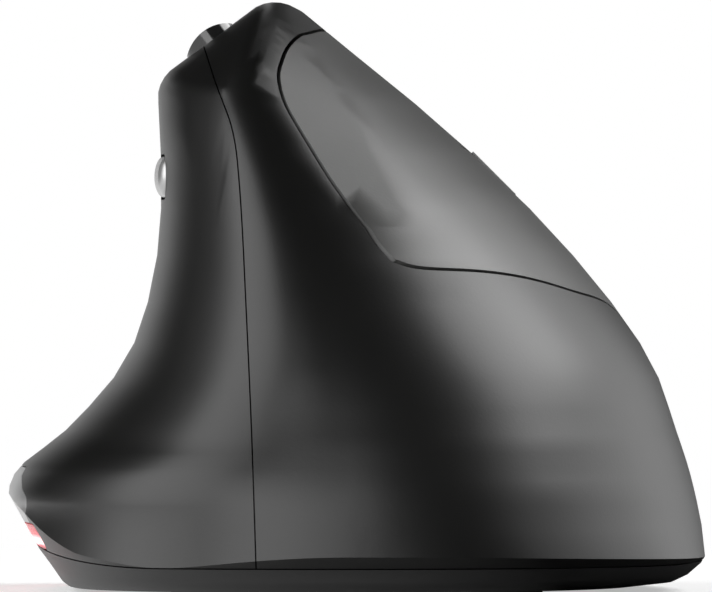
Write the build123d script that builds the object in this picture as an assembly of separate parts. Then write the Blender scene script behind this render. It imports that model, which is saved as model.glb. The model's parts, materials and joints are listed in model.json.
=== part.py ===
from build123d import *
from math import atan, cos, pi, radians, sin, sqrt, tan
import os

# A right-handed vertical mouse, in millimetres. X runs to the finger side, Y from the wrist
# to the fingertips, Z up from the desk. The origin is on the desk under the middle.

# Overall size
length = 120.0
width = 80.0
height = 67.0
half_length = length / 2
half_width = width / 2
overrun = 60.0
small_sides = 8
reach = half_length + overrun

# Walls, gaps and clearances
cover_wall = 2.2
floor_wall = 2.0
base_seam = 0.15
cover_seam = 0.16
panel_gap = 0.42
trim_gap = 0.12
button_gap = 0.25
part_gap = 0.3
running_gap = 0.05
foot_proud = 0.4
floor_top = foot_proud + floor_wall
slope_wall_share = 1.3
side_wall_share = 1.1

# The outer form is a stack of level outlines. Each row gives, as shares of the height, half
# width and half length: level, left, right, rear, front, then where along the outline the
# rear and front points (X) and the left and right points (Y) lie.
form_shares = (
    (-0.090, -1.100, 1.0225, -1.010, 1.015, 0.000, 0.100, 0.133, -0.033),
    (0.060, -1.030, 1.0010, -1.000, 1.000, 0.000, 0.100, 0.133, -0.033),
    (0.134, -1.0035, 0.979, -0.995, 0.990, -0.008, 0.090, 0.133, -0.017),
    (0.172, -0.9995, 0.965, -0.990, 0.983, -0.012, 0.080, 0.133, -0.017),
    (0.209, -0.966, 0.949, -0.982, 0.975, -0.017, 0.075, 0.133, 0.000),
    (0.269, -0.8380, 0.916, -0.965, 0.958, -0.025, 0.062, 0.125, 0.000),
    (0.388, -0.667, 0.843, -0.922, 0.923, -0.060, 0.037, 0.117, 0.033),
    (0.522, -0.588, 0.687, -0.850, 0.880, -0.115, -0.012, 0.100, 0.067),
    (0.672, -0.561, 0.459, -0.747, 0.827, -0.185, -0.075, 0.100, 0.100),
    (0.821, -0.570, 0.184, -0.608, 0.760, -0.270, -0.162, 0.100, 0.133),
    (0.955, -0.573, -0.092, -0.433, 0.687, -0.350, -0.262, 0.133, 0.167),
    (1.090, -0.580, -0.365, -0.200, 0.600, -0.450, -0.375, 0.167, 0.200),
)
# Fullness of the quarters of a level outline: 2 is an ellipse, more is squarer.
rear_right_power = 2.15
front_power = 2.6
rear_left_power = 2.3
tub_rear_left_power = 3.0
quarter_steps = 4
flat_steps = 7
# Levels of the outlines that are joined by ruled bands, outside and inside
outer_level_shares = (
    -0.05, 0.11, 0.15, 0.175, 0.195, 0.215, 0.24, 0.27, 0.31,
    0.36, 0.42, 0.49, 0.57, 0.65, 0.74, 0.83, 0.92, 1.06,
)
rim_level_shares = (-0.05, 0.10, 0.15, 0.24)
inner_level_shares = (-0.05, 0.15, 0.20, 0.25, 0.33, 0.45, 0.60, 0.75, 0.90, 1.06)

# Below the belt line the sides turn in towards the desk: level, left, right, rear, front.
tub_shares = (
    (0.0060, -0.830, 0.790, -0.943, 0.943),
    (0.0134, -0.846, 0.905, -0.955, 0.955),
    (0.0254, -0.860, 0.9475, -0.962, 0.962),
    (0.0448, -0.8825, 0.985, -0.970, 0.970),
    (0.0687, -0.9125, 1.010, -1.003, 1.003),
    (0.2180, -1.050, 1.0875, -1.100, 1.100),
)
tub_ends_shares = (0.0, 0.1, 0.133, -0.033)
tub_top_share = 0.2165

# The crest (Y, Z), from which a facet falls to the thumb side
crest_shares = (
    (-1.250, 0.448),
    (-1.000, 0.657),
    (-0.750, 0.821),
    (-0.500, 0.940),
    (-0.250, 1.006),
    (-0.050, 1.0205),
    (0.167, 1.003),
    (0.367, 0.955),
    (0.567, 0.878),
    (0.750, 0.782),
    (0.933, 0.664),
    (1.167, 0.493),
)
crest_x_share = -0.2304
facet_slope_share = 0.741
crest_round = 4.0
crest_cut_share = 0.62
# The facet's two long edges (Y, X), the slope beyond them and the cuts that round them
peak_shares = (
    (-1.000, -0.400),
    (-0.500, -0.305),
    (-0.215, -0.2485),
    (-0.075, -0.238),
    (0.208, -0.2005),
    (0.335, -0.1655),
    (0.482, -0.123),
    (0.613, -0.086),
    (0.700, -0.077),
    (1.000, -0.077),
)
peak_side_angle = -39.5
peak_cut_angles = (23.0, 10.0, -2.0, -14.0, -27.0)
brow_shares = (
    (-1.000, -0.300),
    (-0.510, -0.430),
    (-0.420, -0.490),
    (-0.275, -0.534),
    (-0.030, -0.567),
    (0.215, -0.568),
    (0.335, -0.558),
    (0.487, -0.526),
    (0.560, -0.498),
    (0.630, -0.460),
    (0.700, -0.400),
    (1.000, -0.300),
)
brow_side_angle = 88.0
brow_cut_angles = (49.0, 62.0, 75.0)

# Seam between the base and the covers (X, Z): it rises at both ends and is level between
thumb_seam_shares = (
    (-1.300, 0.125),
    (-0.912, 0.0745),
    (-0.880, 0.0676),
    (-0.780, 0.0537),
    (-0.680, 0.0470),
    (-0.575, 0.0448),
)
finger_seam_shares = (
    (0.850, 0.0448),
    (0.925, 0.0460),
    (1.000, 0.0500),
    (1.300, 0.0672),
)

# Seam between the two covers (X, Z)
cover_seam_shares = (
    (-0.560, 1.080),
    (-0.441, 0.932),
    (-0.388, 0.843),
    (-0.357, 0.793),
    (-0.336, 0.716),
    (-0.315, 0.510),
    (-0.300, 0.322),
    (-0.284, 0.049),
    (-0.280, -0.030),
)

# The finger slope: a frame on the surface at the wheel, X forwards, Z outwards, Y to the crest
slope_place_shares = (0.370, 0.500, 0.694)
slope_tilt_share = 0.5
quarter_turn = 90.0
slope_tilt = quarter_turn * slope_tilt_share
slope_origin = Vector(
    half_width * slope_place_shares[0],
    half_length * slope_place_shares[1],
    height * slope_place_shares[2],
)
slope_out = Vector(0, 0, 1).rotate(Axis.Y, slope_tilt)
slope = Plane(origin=slope_origin, x_dir=(0, 1, 0), z_dir=slope_out)

# Outline of the finger panel in that frame, as shares of its four reaches
panel_back = 77.5
panel_front = 17.0
panel_rise = 27.2
panel_fall = 22.9
panel_depth = 20.0
panel_shares = (
    (-1.000, 0.044),
    (-0.995, -0.009),
    (-0.965, -0.144),
    (-0.872, -0.371),
    (-0.728, -0.633),
    (-0.606, -0.773),
    (-0.458, -0.895),
    (-0.347, -0.990),
    (-0.200, -1.045),
    (-0.065, -1.050),
    (0.353, -1.000),
    (0.735, -0.865),
    (0.950, -0.640),
    (1.000, -0.350),
    (1.000, 0.180),
    (0.970, 0.480),
    (0.735, 0.717),
    (0.353, 0.831),
    (-0.065, 0.904),
    (-0.258, 0.935),
    (-0.524, 0.971),
    (-0.618, 0.998),
    (-0.683, 0.998),
    (-0.737, 0.970),
    (-0.774, 0.935),
    (-0.823, 0.840),
    (-0.872, 0.682),
    (-0.919, 0.509),
    (-0.957, 0.342),
    (-0.990, 0.158),
)

# The two keys: they bend at a line across the panel, and a slit with the wheel parts them
key_hinge_back = 20.5
key_hinge_gap = 0.2
slit_width = 0.5
slit_back = 32.0
slit_rise = 5.0
slit_turn_back = 12.0
post_radius = 1.6
panel_post_radius = 2.0
panel_post_back = 26.0
panel_post_across = 9.0

# Scroll wheel, its axle and its cradle
wheel_radius = 10.0
wheel_width = 7.0
wheel_forward = 2.0
wheel_depth = 8.4
wheel_slot_length = 21.2
wheel_slot_width = 8.6
wheel_slot_round = 1.5
tyre_thickness = 1.8
tyre_groove_depth = 0.7
tyre_groove_width = 0.9
tyre_grooves = 24
hub_wall = 1.4
hub_web = 1.6
hub_boss_radius = 2.6
light_slots = 8
light_slot_width = 0.8
light_slot_reach = 2.2
axle_radius = 1.2
cradle_arm = 1.6
cradle_arm_gap = 0.9
cradle_bar_top = 9.0
cradle_rail = 1.8
cradle_front = 14.6
cradle_back = 18.5
cradle_bar_width = 1.9
cradle_lug = 3.0
wheel_click = 0.6
guide_radius = 1.0
guide_spread = 4.4
guide_back = 15.9
guide_pin_top = 8.2

# Boards and their switches
board = 1.6
finger_board_top = 13.0
finger_board_back = 22.0
finger_board_front = 15.3
finger_board_reach = 15.0
wheel_window_length = 22.0
wheel_window_width = 9.4
key_switch_length = 12.8
key_switch_width = 5.8
key_switch_height = 6.5
key_switch_forward = 1.6
key_switch_across = 11.5
plunger_radius = 1.0
plunger_play = 0.25
plunger_sunk = 1.0
switch_chamfer = 0.4
plunger_proud = 0.6
plunger_travel = 0.5
tact_width = 6.0
tact_height = 3.5
tact_low = 1.6
detector_width = 2.2
detector_length = 4.4
detector_height = 3.6
detector_forward = 5.0

# The inner frame that carries the finger board
deck = 2.0
deck_back = 30.0
frame_wall = 2.0
frame_rear_share = 0.167
frame_length = 32.0
frame_arm_back = 16.0
frame_arm_drop = 9.0
frame_window_share = 0.6
frame_foot_length = 6.0
frame_foot_width = 5.0
frame_bottom = 4.4
frame_thumb_x = -7.5
frame_thumb_top = 45.0
frame_finger_x = 13.2
frame_finger_top = 25.0
finger_screw_inset = 4.4
pad_height = 2.0

# Screws
screw_radius = 0.95
screw_head_radius = 1.9
screw_head = 1.4
frame_screw_length = 4.5
board_screw_length = 4.0
standoff_screw_length = 4.0
dpi_screw_length = 4.6
small_screw_radius = 0.7
small_head_radius = 1.4
screw_sunk = 0.2
case_screw_length = 11.0
case_screw_places_shares = ((-0.425, 0.600), (0.575, 0.400), (0.425, -0.567), (-0.425, -0.567))
case_boss_radius = 3.0
case_boss_top = 24.0
case_boss_bottom = 4.4
case_rib = 1.4

# Thumb side
trim_rear = -22.0
trim_length = 67.0
trim_bottom = 7.75
trim_height = 6.2
trim_inner = 20.0
trim_shares = (
    (0.000, 0.380),
    (0.210, 1.000),
    (0.930, 1.000),
    (1.000, 0.750),
    (1.000, 0.200),
    (0.960, 0.000),
    (0.045, 0.000),
)
trim_round = 1.3
strip_rear = -24.0
strip_length = 68.0
strip_bottom = 4.85
strip_height = 2.75
strip_round = 1.3
thumb_button_length = 18.0
thumb_button_height = 4.7
thumb_button_level = 47.15
thumb_button_rear = -12.0
thumb_button_pitch = 20.0
thumb_button_proud = 0.75
thumb_button_travel = 0.5
thumb_flange_lip = 0.8
thumb_stem_radius = 1.6
thumb_board_x = -13.5
thumb_board_bottom = 40.4
thumb_board_height = 10.4
thumb_board_rear = -14.0
thumb_board_length = 42.0
standoff_radius = 2.0
standoff_inset = 11.0
standoff_pitch = 28.0
standoff_level = 42.2
thumb_stem = 1.1
thumb_flange_deep = 1.6

# Resolution button on the top facet
dpi_x_share = -0.4225
dpi_y_share = 0.02
dpi_pitch_share = -0.055
dpi_length = 16.0
dpi_width = 6.4
dpi_crown = 1.1
dpi_flange = 1.0
dpi_flange_lip = 1.0
dpi_stem_radius = 1.5
dpi_travel = 0.4
dpi_board_length = 24.0
dpi_board_width = 7.0
dpi_board_depth = 9.2
dpi_flange_depth = 3.0
dpi_post_along = 10.3
dpi_post_across = 2.0
dpi_post_radius = 1.4

# Batteries in their bay, and the door
battery_radius = 5.25
battery_length = 44.5
battery_nub_radius = 1.9
battery_nub = 0.9
battery_pitch = 10.9
bay_wall = 1.4
bay_rear_gap = 8.1
bay_clear = 0.4
contact_space = 2.0
contact_sheet = 0.4
contact_width = 7.0
door_top = 2.1
door_seat = 0.1
door_gap = 0.25
door_notch_length = 9.0
door_notch_width = 3.0
door_notch_depth = 0.8
door_margin = 0.8

# Main board, sensor and power switch
main_board_left = -4.3
main_board_width = 16.3
main_board_rear = 0.6
main_board_length = 45.4
main_board_bottom = 6.0
main_boss_radius = 2.0
main_boss_inset = 2.6
sensor_forward = 15.0
sensor_width = 10.0
sensor_height = 2.2
window_length = 9.0
window_width = 7.0
lens_block_width = 5.4
lens_lip = 1.5
lens_flange = 1.0
lens_barrel_radius = 1.6
lens_bottom = 0.9
chip_width = 6.0
chip_height = 1.1
chip_forward = 29.0
power_forward = 40.0
power_length = 9.0
power_width = 4.4
power_slot_length = 7.0
power_slot_width = 3.0
power_knob_length = 3.4
power_travel = 3.0
power_stem = 1.2
power_knob_bottom = 0.6
power_flange_bottom = 2.7
power_flange = 0.8
power_flange_length = 8.0
power_body_bottom = 3.8

# Feet under the case screws
foot_length = 16.0
foot_width = 8.0
foot_recess = 0.3
foot_gap = 0.15
foot_round = 2.0

# Light board behind the strip
led_board_thick = 1.0
led_board_x = -28.5
led_board_rear = -10.0
led_board_length = 34.0
led_board_height = 7.0
led_count = 4
led_size = 1.8
led_high = 1.0
rail_height = 3.0
rail_wall = 1.2

# Rim on the base, inside the covers
rim_height = 3.0
rim_wall = 1.2


# General shapes

def block(x_pair, y_pair, z_pair):
    """A box between two values on each axis."""
    size = [pair[1] - pair[0] for pair in (x_pair, y_pair, z_pair)]
    place = [(pair[0] + pair[1]) / 2 for pair in (x_pair, y_pair, z_pair)]
    return Pos(*place) * Box(*size)


def around(middle, span):
    return (middle - span / 2, middle + span / 2)


def on_slope(shape, along=0, across=0, depth=0):
    """Puts a shape in the frame of the finger slope, at a depth under its surface."""
    return slope.location * Pos(along, across, -depth) * shape


def rod(radius, top, bottom):
    """A round rod along Z between two heights."""
    return Pos(0, 0, (top + bottom) / 2) * Cylinder(radius, abs(top - bottom))


def small_rod(radius, top, bottom):
    """A rod like the last one with flat sides, for screws and the holes they sit in."""
    outline = RegularPolygon(radius, small_sides)
    return Pos(0, 0, min(top, bottom)) * extrude(outline, abs(top - bottom))


def largest(shape):
    return max(shape.solids(), key=lambda solid: solid.volume)


def scaled(shares, *sizes):
    return tuple(share * size for share, size in zip(shares, sizes))


# The outer form

def smooth_row(rows, place):
    """A row of a table at any place, on a smooth curve through the table's rows."""
    last = len(rows) - 2
    index = min(max(sum(row[0] <= place for row in rows) - 1, 0), last)
    low, high = rows[index], rows[index + 1]
    before, after = rows[max(index - 1, 0)], rows[min(index + 2, last + 1)]
    step = high[0] - low[0]
    part = (place - low[0]) / step
    row = [place]
    for column in range(1, len(low)):
        start_slope = (high[column] - before[column]) / (high[0] - before[0]) * step
        end_slope = (after[column] - low[column]) / (after[0] - low[0]) * step
        rise = high[column] - low[column]
        bend = (rise * 3 - start_slope * 2 - end_slope) * part ** 2
        turn = (start_slope + end_slope - rise * 2) * part ** 3
        row.append(low[column] + start_slope * part + bend + turn)
    return row


def quarter(start, end, power, starts_at_side, steps):
    """Points from start up to, not including, end, on a quarter of a squarish oval."""
    centre = Vector(end.X, start.Y) if starts_at_side else Vector(start.X, end.Y)
    points = []
    for step in range(steps):
        turn = pi / 2 * step / steps
        start_part = cos(turn) ** (2 / power)
        end_part = sin(turn) ** (2 / power)
        points.append(centre + (start - centre) * start_part + (end - centre) * end_part)
    return points


def level_outline(row, inset, flat_sides, last_power=rear_left_power):
    """One closed level outline: smooth outside, and with flat sides for inner walls."""
    level, left, right, rear, front = scaled(
        row[:5], height, half_width, half_width, half_length, half_length
    )
    rear_x, front_x, left_y, right_y = scaled(
        row[5:], half_width, half_width, half_length, half_length
    )
    side = inset * side_wall_share
    finger_side = inset * slope_wall_share
    rear_point = Vector(rear_x, rear + finger_side)
    front_point = Vector(front_x, front - side)
    left_point = Vector(left + side, left_y)
    right_point = Vector(right - finger_side, right_y)
    steps = flat_steps if flat_sides else quarter_steps
    points = quarter(rear_point, right_point, rear_right_power, False, steps)
    points += quarter(right_point, front_point, front_power, True, steps)
    points += quarter(front_point, left_point, front_power, False, steps)
    points += quarter(left_point, rear_point, last_power, True, steps)
    if flat_sides:
        return Pos(0, 0, level) * Wire.make_polygon(points, close=True)
    places = [step / len(points) for step in range(len(points) + 1)]
    loop = Edge.make_spline(points, periodic=True, parameters=places)
    loop = loop.moved(Pos(0, 0, level))
    return Wire([loop.trim(0, 1 / 2), loop.trim(1 / 2, 1)])


def facet_share(x_share, y_share):
    """Height of the facet beside the crest, as a share of the whole height."""
    crest = smooth_row(crest_shares, y_share)[1]
    return crest + (x_share - crest_x_share) * half_width * facet_slope_share / height


def over_line(line_shares, slope, drop):
    """Everything above a surface through a line, which rises towards +X by the slope."""
    start = -half_width - overrun
    points = []
    for y, x, z in line_shares:
        lift = (start - x * half_width) * slope - drop
        points.append(Vector(start, y * half_length, z * height + lift))
    ridge = Edge.make_spline(points)
    top = height * 2 + overrun
    first = Vector(start, points[0].Y, top)
    last = Vector(start, points[-1].Y, top)
    profile = Wire([
        ridge,
        Edge.make_line(points[-1], last),
        Edge.make_line(last, first),
        Edge.make_line(first, points[0]),
    ])
    run = width + overrun * 2
    return Solid.extrude(Face(profile), Vector(run, 0, run * slope))


def tub(inset, flat_sides):
    """The space inside the sides that turn in below the belt line, and all above it."""
    rows = [row + tub_ends_shares for row in tub_shares]
    outlines = [level_outline(row, inset, flat_sides, tub_rear_left_power) for row in rows]
    low = Solid.make_loft(outlines, ruled=True)
    above = block(
        (-reach, reach), (-reach, reach), (tub_top_share * height, height + overrun)
    )
    return low + above


def body_form(inset, level_shares, flat_sides):
    """The outer form, or the same form set in by a wall."""
    rows = [smooth_row(form_shares, level) for level in level_shares]
    outlines = [level_outline(row, inset, flat_sides) for row in rows]
    tall = Solid.make_loft(outlines, ruled=True)
    drop = inset * sqrt(1 + facet_slope_share ** 2)
    crest = [(y, crest_x_share, z) for y, z in crest_shares]
    tall = tall - over_line(crest, facet_slope_share, drop)
    return largest(tall & tub(inset, flat_sides))


def rounded_crest(form):
    """Rounds the peak and the brow, the facet's long edges, with cuts that touch one circle."""
    facet_turn = atan(facet_slope_share)
    upper = block((-reach, reach), (-reach, reach), (crest_cut_share * height, height * 2))
    for line, side, cuts in (
        (peak_shares, peak_side_angle, peak_cut_angles),
        (brow_shares, brow_side_angle, brow_cut_angles),
    ):
        rows = [(y, x, facet_share(x, y)) for y, x in line]
        middle_turn = (facet_turn + radians(side)) / 2
        centre = crest_round / cos(facet_turn - middle_turn)
        for angle in cuts:
            turn = radians(angle)
            drop = (centre * cos(turn - middle_turn) - crest_round) / cos(turn)
            form = form - (over_line(rows, tan(turn), drop) & upper)
    return largest(form)


def under_seam(lift):
    """Everything below the seam between base and covers."""
    near = -half_length - overrun
    thumb_end, finger_end = [
        [Vector(x * half_width, near, z * height + lift) for x, z in shares]
        for shares in (thumb_seam_shares, finger_seam_shares)
    ]
    low = -overrun
    first = Vector(thumb_end[0].X, near, low)
    last = Vector(finger_end[-1].X, near, low)
    profile = Wire([
        Edge.make_spline(thumb_end),
        Edge.make_line(thumb_end[-1], finger_end[0]),
        Edge.make_spline(finger_end),
        Edge.make_line(finger_end[-1], last),
        Edge.make_line(last, first),
        Edge.make_line(first, thumb_end[0]),
    ])
    return Solid.extrude(Face(profile), Vector(0, length + overrun * 2, 0))


def thumb_side_of_seam(shift):
    """Everything on the thumb side of the seam between the two covers."""
    points = [
        Vector(x * half_width + shift, -half_length - overrun, z * height)
        for x, z in cover_seam_shares
    ]
    seam = Edge.make_spline(points)
    side = -half_width - overrun
    first = Vector(side, points[0].Y, points[0].Z)
    last = Vector(side, points[-1].Y, points[-1].Z)
    profile = Wire([
        seam,
        Edge.make_line(points[-1], last),
        Edge.make_line(last, first),
        Edge.make_line(first, points[0]),
    ])
    return Solid.extrude(Face(profile), Vector(0, length + overrun * 2, 0))


# Openings that two pieces share

def panel_points(inset):
    """Outline of the finger panel on the slope, moved inwards by inset."""
    points = []
    for along, across in panel_shares:
        x = along * (panel_front if along > 0 else panel_back)
        y = across * (panel_rise if across > 0 else panel_fall)
        points.append(Vector(x, y))
    moved = []
    for index, point in enumerate(points):
        before = points[index - 1]
        after = points[(index + 1) % len(points)]
        run = (after - before).normalized()
        moved.append(point + Vector(-run.Y, run.X) * inset)
    return moved


def panel_tool(inset):
    """A prism through the shell, square to the slope, inside the panel's outline."""
    points = panel_points(inset)
    places = [step / len(points) for step in range(len(points) + 1)]
    loop = Edge.make_spline(points, periodic=True, parameters=places)
    face = Face(Wire([loop.trim(0, 1 / 2), loop.trim(1 / 2, 1)]))
    prism = Solid.extrude(face, Vector(0, 0, panel_depth + cover_wall * 2))
    return slope.location * Pos(0, 0, -panel_depth) * prism


def side_prism(points, rounding, x_pair, grow=0):
    """A prism along X of an outline in Y and Z, with rounded corners, grown on all sides."""
    outline = make_face(Plane.YZ * Polyline(*points, close=True))
    if rounding:
        outline = fillet(outline.vertices(), rounding)
    if grow:
        outline = offset(outline, amount=grow)
    return Pos(x_pair[0], 0, 0) * extrude(outline, x_pair[1] - x_pair[0], dir=(1, 0, 0))


def trim_tool(grow):
    points = []
    for along, up in trim_shares:
        points.append((trim_rear + along * trim_length, trim_bottom + up * trim_height))
    return side_prism(points, trim_round, (-half_width - overrun, -trim_inner), grow)


def strip_tool(grow):
    y_pair = (strip_rear, strip_rear + strip_length)
    z_pair = (strip_bottom, strip_bottom + strip_height)
    points = [(y_pair[0], z) for z in z_pair] + [(y_pair[1], z) for z in reversed(z_pair)]
    return side_prism(points, strip_round, (-half_width - overrun, -trim_inner), grow)


def thumb_button_middle(index):
    return thumb_button_rear + thumb_button_length / 2 + index * thumb_button_pitch


def stadium(long, short, thickness):
    return extrude(SlotOverall(long, short), thickness)


def thumb_button_tool(index, grow, x_pair):
    """A prism along X with the rounded outline of a thumb button."""
    slot = stadium(
        thumb_button_length + grow * 2, thumb_button_height + grow * 2, x_pair[1] - x_pair[0]
    )
    place = Plane(
        origin=(x_pair[0], thumb_button_middle(index), thumb_button_level),
        x_dir=(0, 1, 0), z_dir=(1, 0, 0),
    )
    return place.location * slot


facet = Plane(
    origin=(
        dpi_x_share * half_width,
        dpi_y_share * half_length,
        facet_share(dpi_x_share, dpi_y_share) * height,
    ),
    x_dir=(0, 1, dpi_pitch_share), z_dir=(-facet_slope_share, -dpi_pitch_share, 1),
)


def on_facet(shape, along=0, across=0, depth=0):
    """Puts a shape in the frame of the top facet, at a depth under its surface."""
    return facet.location * Pos(along, across, -depth) * shape


# The shell and what is cut from it

outer = rounded_crest(body_form(0, outer_level_shares, False))
inner = body_form(cover_wall, inner_level_shares, True)
clear = body_form(cover_wall + part_gap, inner_level_shares, True)
rim_inside = body_form(cover_wall + part_gap + rim_wall, rim_level_shares, True)
above_floor = block((-reach, reach), (-reach, reach), (floor_top, height + overrun))
shell = outer - (inner & above_floor)


def case_places():
    return [scaled(place, half_width, half_length) for place in case_screw_places_shares]


def case_boss(index):
    """A screw boss with a rib that joins it to the cover's side wall."""
    x, y = case_places()[index]
    column = Pos(x, y, 0) * rod(case_boss_radius, case_boss_top, case_boss_bottom)
    over_rim = floor_top + rim_height + part_gap
    x_pair = (x, half_width) if x > 0 else (-half_width, x)
    inwards = -cover_wall / 2 if x > 0 else cover_wall / 2
    rib = block(x_pair, around(y, case_rib), (over_rim, case_boss_top))
    return column + (outer.moved(Pos(inwards, 0, 0)) & rib)


def case_hole(index):
    x, y = case_places()[index]
    top = case_boss_bottom + case_screw_length
    return Pos(x, y, 0) * small_rod(screw_radius, top, 0)


def dpi_hole():
    hole = stadium(dpi_length + button_gap * 2, dpi_width + button_gap * 2, cover_wall * 4)
    return on_facet(hole, depth=cover_wall * 2)


def make_thumb_cover():
    """The thumb-side cover, with openings for the trim, the light and the buttons."""
    cover = (shell - under_seam(base_seam)) & thumb_side_of_seam(-cover_seam / 2)
    cover = largest(cover - dpi_hole())
    for index in (0, 3):
        cover = cover + case_boss(index) - case_hole(index)
    cover = cover - trim_tool(trim_gap) - strip_tool(trim_gap)
    for index in (0, 1):
        cover = cover - thumb_button_tool(index, button_gap, (-half_width, thumb_board_x))
    return largest(cover)


def make_palm_cover():
    """The palm-side cover, open where the finger panel and the keys sit."""
    cover = (shell - panel_tool(0)) - under_seam(base_seam) - thumb_side_of_seam(cover_seam / 2)
    cover = largest(cover - dpi_hole())
    for index in (1, 2):
        cover = cover + case_boss(index) - case_hole(index)
    for side in (-1, 1):
        post = rod(dpi_post_radius, -cover_wall / 2, -dpi_board_depth)
        bore = small_rod(small_screw_radius, -dpi_board_depth / 2, -dpi_board_depth)
        cover = cover + on_facet(post, side * dpi_post_along, -dpi_post_across)
        cover = cover - on_facet(bore, side * dpi_post_along, -dpi_post_across)
    return largest(cover)


def make_thumb_trim():
    return largest(shell & trim_tool(0))


def make_light_strip():
    return largest((shell & strip_tool(0)) - under_seam(base_seam))


# Finger panel, keys and their plungers

def key_slit():
    """The slit that runs down between the keys from a step behind their hinge."""
    half = slit_width / 2
    end = panel_front * 2
    outline = Polyline(
        (-slit_back, slit_rise + half), (-slit_turn_back, half), (end, half),
        (end, -half), (-slit_turn_back, -half), (-slit_back, slit_rise - half), close=True,
    )
    return on_slope(extrude(make_face(outline), panel_depth), depth=panel_depth / 2)


def wheel_slot():
    outline = RectangleRounded(wheel_slot_length, wheel_slot_width, wheel_slot_round)
    return on_slope(extrude(outline, panel_depth), wheel_forward, depth=panel_depth / 2)


def panel_pieces():
    """The panel and the two keys, cut apart from one piece of the shell."""
    whole = largest(shell & panel_tool(panel_gap))
    hinge = block(
        around(-key_hinge_back, key_hinge_gap), (-half_width, half_width),
        (-panel_depth, panel_depth),
    )
    pieces = (whole - key_slit() - wheel_slot() - on_slope(hinge)).solids()
    pieces = sorted(pieces, key=lambda piece: piece.volume)[-3:]
    panel, *keys = sorted(pieces, key=lambda piece: piece.center().Y)
    lower, upper = sorted(keys, key=lambda piece: piece.center().Z)
    return panel, upper, lower


def slope_rod(radius, along, across, top, bottom):
    """A rod square to the finger slope, between two depths under it."""
    return on_slope(rod(radius, -top, -bottom), along, across)


def slope_bore(along, across, top, bottom):
    """The hole of a screw square to the finger slope."""
    return on_slope(small_rod(screw_radius, -top, -bottom), along, across)


deck_top = finger_board_top + board
deck_bottom = deck_top + deck
panel, left_key, right_key = panel_pieces()


def panel_post_places():
    return [(-panel_post_back, side * panel_post_across) for side in (-1, 1)]


def make_finger_panel():
    """The fixed rear part of the finger panel, on two posts that stand on the deck."""
    piece = panel
    for along, across in panel_post_places():
        post = slope_rod(panel_post_radius, along, across, cover_wall / 2, deck_top)
        bore = slope_bore(along, across, deck_top - frame_screw_length, deck_top)
        piece = piece + post - bore
    return largest(piece)


def make_key(piece, side):
    """A finger key with the post that presses its switch."""
    low = finger_board_top - key_switch_height - plunger_proud
    across = side * key_switch_across
    post = slope_rod(post_radius, key_switch_forward, across, cover_wall / 2, low)
    return largest(piece + post)


def make_key_plunger(side):
    switch_top = finger_board_top - key_switch_height
    top, foot = switch_top - plunger_proud, switch_top + plunger_sunk
    across = side * key_switch_across
    return slope_rod(plunger_radius, key_switch_forward, across, top, foot)


def make_key_switch(side):
    """A micro switch on the finger board, open on top for its plunger."""
    top = finger_board_top - key_switch_height
    body = Box(key_switch_length, key_switch_width, key_switch_height)
    body = chamfer(body.edges().group_by(Axis.Z)[-1], switch_chamfer)
    body = on_slope(
        body, key_switch_forward, side * key_switch_across, (top + finger_board_top) / 2
    )
    foot = top + plunger_sunk + plunger_travel * 2
    across = side * key_switch_across
    bore = slope_rod(
        plunger_radius + plunger_play, key_switch_forward, across, top - plunger_proud, foot
    )
    return largest(body - bore)


# Scroll wheel and its cradle

def across_rod(radius, half_span, along=0, depth=0):
    """A rod across the finger slope, along the wheel's axle."""
    shape = Rot(quarter_turn, 0, 0) * Cylinder(radius, half_span * 2)
    return on_slope(shape, along, 0, depth)


def make_wheel_hub():
    """The wheel's hub: a rim, a web with light slots and a boss on the axle."""
    rim_radius = wheel_radius - tyre_thickness
    rim = Cylinder(rim_radius, wheel_width) - Cylinder(rim_radius - hub_wall, wheel_width)
    web = Cylinder(rim_radius - hub_wall, hub_web) + Cylinder(hub_boss_radius, wheel_width)
    hub = rim + web - Cylinder(axle_radius, wheel_width)
    slot = Box(light_slot_reach, light_slot_width, hub_web * 2)
    middle = rim_radius - hub_wall - light_slot_reach
    for turn in range(light_slots):
        angle = quarter_turn * 4 * turn / light_slots
        hub = hub - Rot(0, 0, angle) * Pos(middle, 0, 0) * slot
    return on_slope(Rot(quarter_turn, 0, 0) * hub, wheel_forward, depth=wheel_depth)


def make_wheel_tyre():
    """The rubber tyre, with grooves across its tread."""
    tyre = Cylinder(wheel_radius, wheel_width)
    tyre = tyre - Cylinder(wheel_radius - tyre_thickness, wheel_width)
    groove = Box(tyre_groove_depth * 2, tyre_groove_width, wheel_width * 2)
    for turn in range(tyre_grooves):
        angle = quarter_turn * 4 * turn / tyre_grooves
        tyre = tyre - Rot(0, 0, angle) * Pos(wheel_radius, 0, 0) * groove
    return on_slope(Rot(quarter_turn, 0, 0) * tyre, wheel_forward, depth=wheel_depth)


cradle_inner = wheel_width / 2 + cradle_arm_gap
cradle_outer = cradle_inner + cradle_arm
cradle_low = cradle_bar_top + cradle_rail


def make_wheel_axle():
    return across_rod(axle_radius, cradle_outer, wheel_forward, wheel_depth)


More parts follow.
